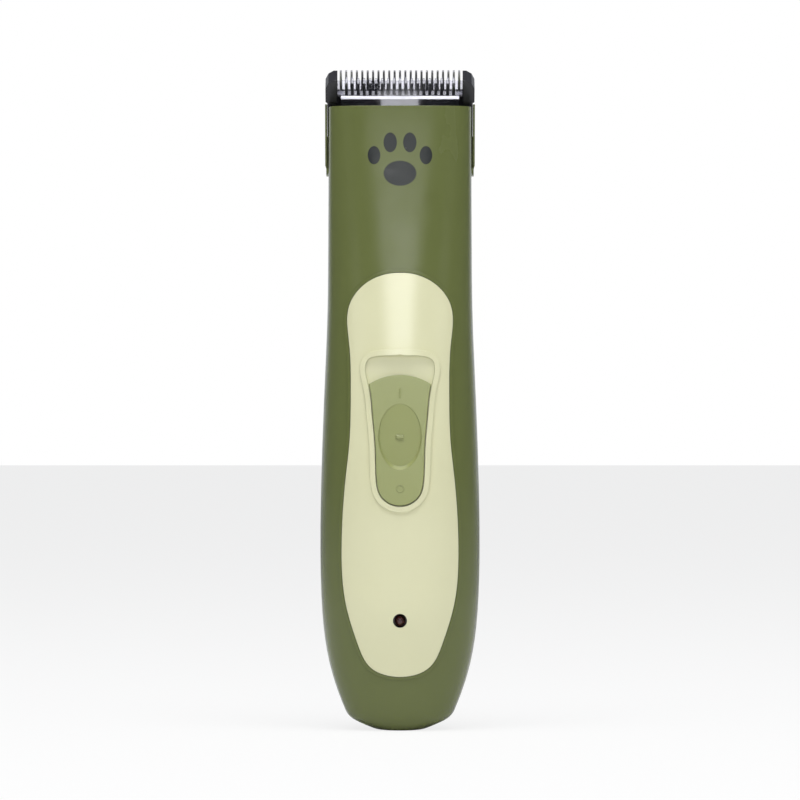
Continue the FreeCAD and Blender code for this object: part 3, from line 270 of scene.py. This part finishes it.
def plastic(name, colour, rough=0.28, tint_shift=0.06, bump=0.10, gloss=0.0, scratch=0.4, mark=None,
            specular=0.5):
    """A moulded plastic: slight colour drift, grain bump, haze and scratches in its gloss."""
    material = bpy.data.materials.new(name)
    material.use_nodes = True
    nodes, links = material.node_tree.nodes, material.node_tree.links
    shader = nodes["Principled BSDF"]
    where = nodes.new("ShaderNodeTexCoord")
    grain = nodes.new("ShaderNodeGroup")
    grain.node_tree = GRAIN
    grain.inputs["Grain Scale"].default_value = GRAIN_SCALE
    scratches = nodes.new("ShaderNodeGroup")
    scratches.node_tree = SCRATCH
    scratches.inputs["Amount"].default_value = scratch
    links.new(where.outputs["Object"], grain.inputs["Vector"])
    links.new(where.outputs["Object"], scratches.inputs["Vector"])
    drift = nodes.new("ShaderNodeMix")
    drift.data_type = "RGBA"
    drift.inputs["A"].default_value = (*[c * (1 - tint_shift) for c in colour], 1)
    drift.inputs["B"].default_value = (*[min(1, c * (1 + tint_shift)) for c in colour], 1)
    links.new(grain.outputs["Haze"], drift.inputs["Factor"])
    base = drift.outputs["Result"]
    if mark:
        base = mark(nodes, links, where, base)
    links.new(base, shader.inputs["Base Color"])
    dull = nodes.new("ShaderNodeMapRange")
    dull.inputs["From Min"].default_value = 0.3
    dull.inputs["From Max"].default_value = 0.7
    dull.inputs["To Min"].default_value = rough * HAZE_SPREAD[0]
    dull.inputs["To Max"].default_value = rough * HAZE_SPREAD[1]
    links.new(grain.outputs["Haze"], dull.inputs["Value"])
    worn = nodes.new("ShaderNodeMath")
    worn.operation = "MULTIPLY_ADD"
    worn.inputs[1].default_value = SCRATCH_DULLING
    links.new(scratches.outputs["Mask"], worn.inputs[0])
    links.new(dull.outputs["Result"], worn.inputs[2])
    links.new(worn.outputs["Value"], shader.inputs["Roughness"])
    bumps = nodes.new("ShaderNodeBump")
    bumps.inputs["Strength"].default_value = bump
    bumps.inputs["Distance"].default_value = GRAIN_HEIGHT
    rounded = nodes.new("ShaderNodeBevel")
    rounded.samples = EDGE_SAMPLES
    rounded.inputs["Radius"].default_value = EDGE_RADIUS
    links.new(rounded.outputs["Normal"], bumps.inputs["Normal"])
    links.new(grain.outputs["Height"], bumps.inputs["Height"])
    links.new(bumps.outputs["Normal"], shader.inputs["Normal"])
    shader.inputs["Specular IOR Level"].default_value = specular
    shader.inputs["Coat Weight"].default_value = gloss
    shader.inputs["Coat Roughness"].default_value = COAT_ROUGHNESS
    return material


def paint(node, material):
    """Give a node of the frame its finish."""
    for place in frame["nodes"][node].material_slots:
        place.link = "OBJECT"
        place.material = material


OLIVE = (0.140, 0.165, 0.050)
INK = (0.012, 0.016, 0.016)
INK_SIDE = -0.009
INK_FADE = (1.05, 0.97)
PAW_PADS = [
    # centre X and Z, half width and half height, in millimetres
    (0.0, 148.2, 4.3, 3.3),
    (6.9, 153.0, 1.65, 2.4),
    (2.6, 156.4, 1.75, 2.6),
]


def paw_print(nodes, links, where, base):
    """A small plain paw printed in dark ink on the neck."""
    split = nodes.new("ShaderNodeSeparateXYZ")
    links.new(where.outputs["Object"], split.inputs[0])
    side = nodes.new("ShaderNodeMath")
    side.operation = "ABSOLUTE"
    links.new(split.outputs["X"], side.inputs[0])
    total = None
    for x, z, half, tall in PAW_PADS:
        spot = nodes.new("ShaderNodeCombineXYZ")
        for source, target, centre, reach in (
            (side.outputs[0], "X", x * MM, half * MM),
            (split.outputs["Z"], "Y", z * MM, tall * MM),
        ):
            scaled = nodes.new("ShaderNodeMapRange")
            scaled.clamp = False
            scaled.inputs["From Min"].default_value = centre
            scaled.inputs["From Max"].default_value = centre + reach
            links.new(source, scaled.inputs["Value"])
            links.new(scaled.outputs["Result"], spot.inputs[target])
        away = nodes.new("ShaderNodeVectorMath")
        away.operation = "LENGTH"
        links.new(spot.outputs[0], away.inputs[0])
        inside = nodes.new("ShaderNodeMapRange")
        inside.inputs["From Min"].default_value = INK_FADE[0]
        inside.inputs["From Max"].default_value = INK_FADE[1]
        links.new(away.outputs["Value"], inside.inputs["Value"])
        if total is None:
            total = inside.outputs["Result"]
        else:
            either = nodes.new("ShaderNodeMath")
            either.operation = "MAXIMUM"
            links.new(total, either.inputs[0])
            links.new(inside.outputs["Result"], either.inputs[1])
            total = either.outputs[0]
    front = nodes.new("ShaderNodeMath")
    front.operation = "LESS_THAN"
    front.inputs[1].default_value = INK_SIDE
    links.new(split.outputs["Y"], front.inputs[0])
    printed = nodes.new("ShaderNodeMath")
    printed.operation = "MULTIPLY"
    links.new(total, printed.inputs[0])
    links.new(front.outputs[0], printed.inputs[1])
    ink = nodes.new("ShaderNodeMix")
    ink.data_type = "RGBA"
    ink.inputs["B"].default_value = (*INK, 1)
    links.new(printed.outputs[0], ink.inputs["Factor"])
    links.new(base, ink.inputs["A"])
    return ink.outputs["Result"]


paint("front_shell", plastic("olive_front", OLIVE, rough=0.22, tint_shift=0.03, gloss=0.05,
                             mark=paw_print, specular=0.42))
paint("rear_shell", plastic("olive_rear", OLIVE, rough=0.24, tint_shift=0.03, gloss=0.05,
                            scratch=0.6, specular=0.42))

# ---------------------------------------------------------------- front panel
# A separate cream moulding let into the front shell, with the raised rim of
# the switch recess moulded in one with it.

CREAM = (0.80, 0.79, 0.51)
paint("front_panel", plastic("cream_panel", CREAM, rough=0.2, tint_shift=0.008, gloss=0.1, scratch=0.3,
                             specular=0.8))

# ---------------------------------------------------------------- switch
# A pale green thumb plate that slides up to start the motor. Its raised bar
# and ring marks are moulded on and ride with it.

PALE_GREEN = (0.34, 0.37, 0.145)
SWITCH_LEAN = math.radians(3.2)
button_plastic = plastic("switch_plastic", PALE_GREEN, rough=0.22, tint_shift=0.02, gloss=0.1, specular=0.6)
paint("switch_button", button_plastic)
button_low, button_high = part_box("switch_button")


def link_piece(name, bm, body, material):
    """Finish a modelled piece: mesh, finish and the body it rides on."""
    bmesh.ops.recalc_face_normals(bm, faces=bm.faces)
    mesh = bpy.data.meshes.new(name)
    bm.to_mesh(mesh)
    bm.free()
    mesh.materials.append(material)
    piece = bpy.data.objects.new(name, mesh)
    bpy.context.scene.collection.objects.link(piece)
    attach(piece, body)
    return piece


def block(bm, low, high):
    """A box between two corners, returned as its verts."""
    low, high = Vector(low), Vector(high)
    place = Matrix.Translation((low + high) / 2) @ Matrix.Diagonal((*(high - low), 1))
    return bmesh.ops.create_cube(bm, size=1.0, matrix=place)["verts"]


def ease(bm, edges, width, segments=2):
    """Round edges by a small width."""
    bmesh.ops.bevel(bm, geom=list(edges), offset=width, segments=segments, profile=0.5,
                    affect="EDGES", clamp_overlap=True, material=-1)


def on_button(height):
    """Matrix of a spot on the button's face at a height."""
    back = (height - button_low.z) * math.tan(SWITCH_LEAN)
    return (Matrix.Translation((0, button_low.y + back, height))
            @ Matrix.Rotation(-SWITCH_LEAN, 4, "X"))


MARK_DEPTH = 0.00022
BAR_HALF_WIDTH = 0.00026
BAR_HALF_TALL = 0.0013
BAR_EASE = 0.00008
RING_RADIUS = 0.00075
RING_GROWTH = 1.5
ON_MARK_DROP = 0.0048
OFF_MARK_RISE = 0.0046

on_bm = bmesh.new()
block(on_bm, (-BAR_HALF_WIDTH, -MARK_DEPTH, -BAR_HALF_TALL), (BAR_HALF_WIDTH, MARK_DEPTH, BAR_HALF_TALL))
ease(on_bm, on_bm.edges, BAR_EASE)
on_bm.transform(on_button(button_high.z - ON_MARK_DROP))
link_piece("on_mark", on_bm, "switch", button_plastic)

off_bm = bmesh.new()
bmesh.ops.create_circle(off_bm, segments=32, radius=RING_RADIUS, cap_ends=False,
                        matrix=Matrix.Rotation(math.pi / 2, 4, "X"))
band = bmesh.ops.extrude_edge_only(off_bm, edges=off_bm.edges[:])
outer = [v for v in band["geom"] if isinstance(v, bmesh.types.BMVert)]
bmesh.ops.scale(off_bm, verts=outer, vec=(RING_GROWTH, 1.0, RING_GROWTH))
bmesh.ops.translate(off_bm, verts=off_bm.verts, vec=(0, -MARK_DEPTH * 0.6, 0))
bmesh.ops.recalc_face_normals(off_bm, faces=off_bm.faces)
bmesh.ops.solidify(off_bm, geom=off_bm.faces[:], thickness=MARK_DEPTH)
off_bm.transform(on_button(button_low.z + OFF_MARK_RISE))
link_piece("off_mark", off_bm, "switch", button_plastic)

# ---------------------------------------------------------------- charge light
# A dark red diffused light behind the small hole low on the panel.

lens = bpy.data.materials.new("dark_red_lens")
lens.use_nodes = True
lens_nodes, lens_links = lens.node_tree.nodes, lens.node_tree.links
lens_shader = lens_nodes["Principled BSDF"]
lens_where = lens_nodes.new("ShaderNodeTexCoord")
lens_cloud = lens_nodes.new("ShaderNodeTexNoise")
lens_cloud.inputs["Scale"].default_value = 900
lens_links.new(lens_where.outputs["Object"], lens_cloud.inputs["Vector"])
lens_ramp = lens_nodes.new("ShaderNodeMix")
lens_ramp.data_type = "RGBA"
lens_ramp.inputs["A"].default_value = (0.030, 0.008, 0.012, 1)
lens_ramp.inputs["B"].default_value = (0.075, 0.012, 0.020, 1)
lens_links.new(lens_cloud.outputs["Fac"], lens_ramp.inputs["Factor"])
lens_links.new(lens_ramp.outputs["Result"], lens_shader.inputs["Base Color"])
lens_shader.inputs["Roughness"].default_value = 0.08
lens_shader.inputs["Coat Weight"].default_value = 0.6
paint("indicator_led", lens)

# ---------------------------------------------------------------- head frame
# The black frame that carries the blades, and the deck it rocks on.

BLACK = (0.018, 0.018, 0.024)
head_black = plastic("head_black", BLACK, rough=0.33, tint_shift=0.1, bump=0.2, gloss=0.1)
paint("blade_carrier", head_black)
paint("head_seat", plastic("deck_black", BLACK, rough=0.42, bump=0.3))

# ---------------------------------------------------------------- blades
# Ground steel combs. The fixed one lies on the skin side and has the longer
# teeth; the shorter one strokes across its front face, with a bright ground
# step where its teeth begin. Teeth are tapered bars eased along their edges.

LEAN = math.radians(35.0)
HINGE = next(j["pos_m"] for j in frame["joints"] if j["name"] == "head_hinge")
HEAD = Matrix.Translation(HINGE) @ Matrix.Rotation(LEAN, 4, "X")


def ground_steel(name, colour, rough, lines_along=(1.0, 1.0, 1.0), bump=0.25):
    """Ground or rolled steel with fine parallel grinding lines."""
    material = bpy.data.materials.new(name)
    material.use_nodes = True
    nodes, links = material.node_tree.nodes, material.node_tree.links
    shader = nodes["Principled BSDF"]
    where = nodes.new("ShaderNodeTexCoord")
    turn = nodes.new("ShaderNodeMapping")
    turn.inputs["Scale"].default_value = lines_along
    lines = nodes.new("ShaderNodeTexNoise")
    lines.inputs["Scale"].default_value = 2200
    lines.inputs["Detail"].default_value = 3
    cloud = nodes.new("ShaderNodeTexNoise")
    cloud.inputs["Scale"].default_value = 220
    cloud.inputs["Detail"].default_value = 4
    tone = nodes.new("ShaderNodeMix")
    tone.data_type = "RGBA"
    tone.inputs["A"].default_value = (*[c * 0.8 for c in colour], 1)
    tone.inputs["B"].default_value = (*[min(1, c * 1.15) for c in colour], 1)
    dull = nodes.new("ShaderNodeMapRange")
    dull.inputs["To Min"].default_value = rough * 0.7
    dull.inputs["To Max"].default_value = rough * 1.35
    bumps = nodes.new("ShaderNodeBump")
    bumps.inputs["Strength"].default_value = bump
    bumps.inputs["Distance"].default_value = 0.00003
    links.new(where.outputs["Object"], turn.inputs["Vector"])
    links.new(turn.outputs["Vector"], lines.inputs["Vector"])
    links.new(where.outputs["Object"], cloud.inputs["Vector"])
    links.new(cloud.outputs["Fac"], tone.inputs["Factor"])
    links.new(tone.outputs["Result"], shader.inputs["Base Color"])
    links.new(lines.outputs["Fac"], dull.inputs["Value"])
    links.new(dull.outputs["Result"], shader.inputs["Roughness"])
    links.new(lines.outputs["Fac"], bumps.inputs["Height"])
    links.new(bumps.outputs["Normal"], shader.inputs["Normal"])
    shader.inputs["Metallic"].default_value = 1.0
    return material


ALONG_X = (0.04, 1.0, 1.0)
blade_steel = ground_steel("blade_steel", (0.66, 0.66, 0.72), 0.30, ALONG_X)


def bar(bm, outline, low, high):
    """A straight bar along X with an outline of Y and Z in millimetres."""
    ring = [bm.verts.new((low * MM, y * MM, z * MM)) for y, z in outline]
    cap = bmesh.ops.contextual_create(bm, geom=ring)["faces"]
    grown = bmesh.ops.extrude_face_region(bm, geom=cap)["geom"]
    moved = [part for part in grown if isinstance(part, bmesh.types.BMVert)]
    bmesh.ops.translate(bm, verts=moved, vec=((high - low) * MM, 0, 0))
    return ring + moved


def tooth(bm, x, root, tip, half_root, half_tip, back_root, back_tip, front_root, front_tip):
    """One tapered comb tooth, standing from root to tip, in millimetres."""
    outline = [(front_root, root), (front_tip, tip), (back_tip, tip), (back_root, root)]
    verts = bar(bm, outline, x - half_root, x + half_root)
    for v in verts:
        if v.co.z > (root + tip) / 2 * MM:
            v.co.x = (x + math.copysign(half_tip, v.co.x / MM - x)) * MM
    edges = {e for v in verts for e in v.link_edges}
    ease(bm, edges, 0.06 * MM, 1)


# Y and Z of the fixed comb in the head's own axes, in millimetres
CUT = 0.2
FIXED_BACK = 2.2
FIXED_LOW = 3.2
FIXED_BREAK = 17.0
FIXED_ROOT = 17.6
FIXED_HALF = 16.86
SHOULDER_HALF = 18.2
SHOULDER_HIGH = 19.3
FIXED_FOOT = 17.2
FIXED_TIP = 23.18
FIXED_PITCH = 1.436
FIXED_SIDE_TEETH = 11
fixed_bm = bmesh.new()
plate = [(CUT, FIXED_LOW), (FIXED_BACK, FIXED_LOW), (FIXED_BACK, FIXED_BREAK)]
bar(fixed_bm, plate + [(1.65, 19.6), (CUT, FIXED_ROOT)], -FIXED_HALF, FIXED_HALF)
for low, high in ((-SHOULDER_HALF, -FIXED_HALF), (FIXED_HALF, SHOULDER_HALF)):
    bar(fixed_bm, plate + [(1.72, SHOULDER_HIGH), (CUT, SHOULDER_HIGH)], low, high)
ease(fixed_bm, fixed_bm.edges, 0.08 * MM, 1)
for k in range(-FIXED_SIDE_TEETH, FIXED_SIDE_TEETH + 1):
    tooth(fixed_bm, k * FIXED_PITCH, FIXED_FOOT, FIXED_TIP, 0.37, 0.26, 2.1, 0.85, CUT, CUT)
fixed_bm.transform(HEAD)
fixed_comb = link_piece("fixed_comb", fixed_bm, "head", blade_steel)
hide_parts("fixed_blade")

# the same of the moving comb: a narrow plate, a wide bar with the ground step
# along its top, and teeth whose tips thin towards the fixed comb
FACE = 0.17
TOOTH_FRONT = -0.73
TIP_FRONT = -0.33
PLATE_FRONT = -1.33
PLATE_LOW = 8.3
PLATE_HALF = 13.0
BAR_LOW = 13.0
BAR_HALF = 16.9
COMB_HALF = 15.1
STEP_LOW = 15.46
STEP_HIGH = 16.14
CORNER_HIGH = 16.36
ROOT_HIGH = 17.13
MOVING_FOOT = 16.2
MOVING_TIP = 21.11
MOVING_THIN = 1.0
LAP = 0.05
MOVING_PITCH = 1.59
MOVING_SIDE_TEETH = 9
moving_bm = bmesh.new()
step = [(FACE, BAR_LOW), (PLATE_FRONT, BAR_LOW), (PLATE_FRONT, STEP_LOW), (TOOTH_FRONT, STEP_HIGH),
        (TOOTH_FRONT, CORNER_HIGH)]
bar(moving_bm, step + [(FACE - 0.03, ROOT_HIGH), (FACE, ROOT_HIGH)], -COMB_HALF, COMB_HALF)
for low, high in ((-BAR_HALF, -COMB_HALF), (COMB_HALF, BAR_HALF)):
    bar(moving_bm, step + [(FACE, CORNER_HIGH)], low, high)
bar(moving_bm, [(FACE, PLATE_LOW), (PLATE_FRONT, PLATE_LOW), (PLATE_FRONT, BAR_LOW + 0.1),
                (FACE, BAR_LOW + 0.1)], -PLATE_HALF, PLATE_HALF)
ease(moving_bm, moving_bm.edges, 0.05 * MM, 1)
for k in range(-MOVING_SIDE_TEETH, MOVING_SIDE_TEETH + 1):
    x = k * MOVING_PITCH
    thin_from = MOVING_TIP - MOVING_THIN
    tooth(moving_bm, x, MOVING_FOOT, thin_from, 0.43, 0.36, FACE, FACE, TOOTH_FRONT, TOOTH_FRONT)
    tooth(moving_bm, x, thin_from - LAP, MOVING_TIP, 0.36, 0.25, FACE, FACE, TOOTH_FRONT, TIP_FRONT)
moving_bm.transform(HEAD)
moving_comb = link_piece("moving_comb", moving_bm, "cutter", blade_steel)
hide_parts("moving_blade")

# ---------------------------------------------------------------- screws and springs
# Plated cross-head screws and thin rolled spring strip.

plated = ground_steel("plated_screw", (0.55, 0.55, 0.57), 0.22, bump=0.1)
strip = ground_steel("spring_strip", (0.42, 0.42, 0.44), 0.34, ALONG_X)
for name in ("housing_screws", "blade_screws", "motor_screws", "board_screws", "motor_shaft", "drive_pin"):
    paint(name, plated)
for name in ("blade_spring", "latch_spring"):
    paint(name, strip)

# ---------------------------------------------------------------- drive and motor
# White acetal fork and cam, zinc-plated can, copper and iron inside.

acetal = plastic("white_acetal", (0.72, 0.72, 0.70), rough=0.42, tint_shift=0.03)
for name in ("drive_fork", "eccentric_cam", "motor_bracket", "switch_carriage"):
    paint(name, acetal)
zinc = ground_steel("zinc_can", (0.60, 0.60, 0.58), 0.36, (1.0, 1.0, 0.1))
for name in ("motor_can", "rotor_core"):
    paint(name, zinc)
copper = ground_steel("copper_parts", (0.62, 0.30, 0.16), 0.30)
for name in ("commutator", "motor_brushes", "motor_bushes", "motor_terminals"):
    paint(name, copper)
paint("motor_magnets", plastic("ferrite", (0.05, 0.05, 0.052), rough=0.62, bump=0.6, scratch=0.1))
paint("motor_damper", plastic("band_rubber", (0.02, 0.02, 0.02), rough=0.7, bump=0.5, specular=0.3))
paint("motor_end_cap", head_black)

# ---------------------------------------------------------------- power and board
# Two sleeved cells, nickel strips, the socket barrel and the coated board.

paint("battery_cells", plastic("cell_sleeve", (0.05, 0.13, 0.30), rough=0.25, gloss=0.4))
nickel = ground_steel("nickel_strip", (0.58, 0.56, 0.50), 0.28, ALONG_X)
for name in ("cell_tabs", "jack_pin", "jack_terminals"):
    paint(name, nickel)
part_black = plastic("component_black", (0.02, 0.02, 0.02), rough=0.5, bump=0.4)
for name in ("dc_jack", "charge_chip", "board_resistors", "board_diodes", "board_capacitor",
             "slide_switch_body", "slide_switch_lever"):
    paint(name, part_black)
paint("circuit_board", plastic("board_lacquer", (0.01, 0.11, 0.045), rough=0.3, tint_shift=0.2, gloss=0.3))
red_skin = plastic("red_insulation", (0.42, 0.02, 0.02), rough=0.45)
black_skin = plastic("black_insulation", (0.015, 0.015, 0.015), rough=0.45)
for part in ("cell", "jack", "motor"):
    paint(part + "_lead_red", red_skin)
    paint(part + "_lead_black", black_skin)
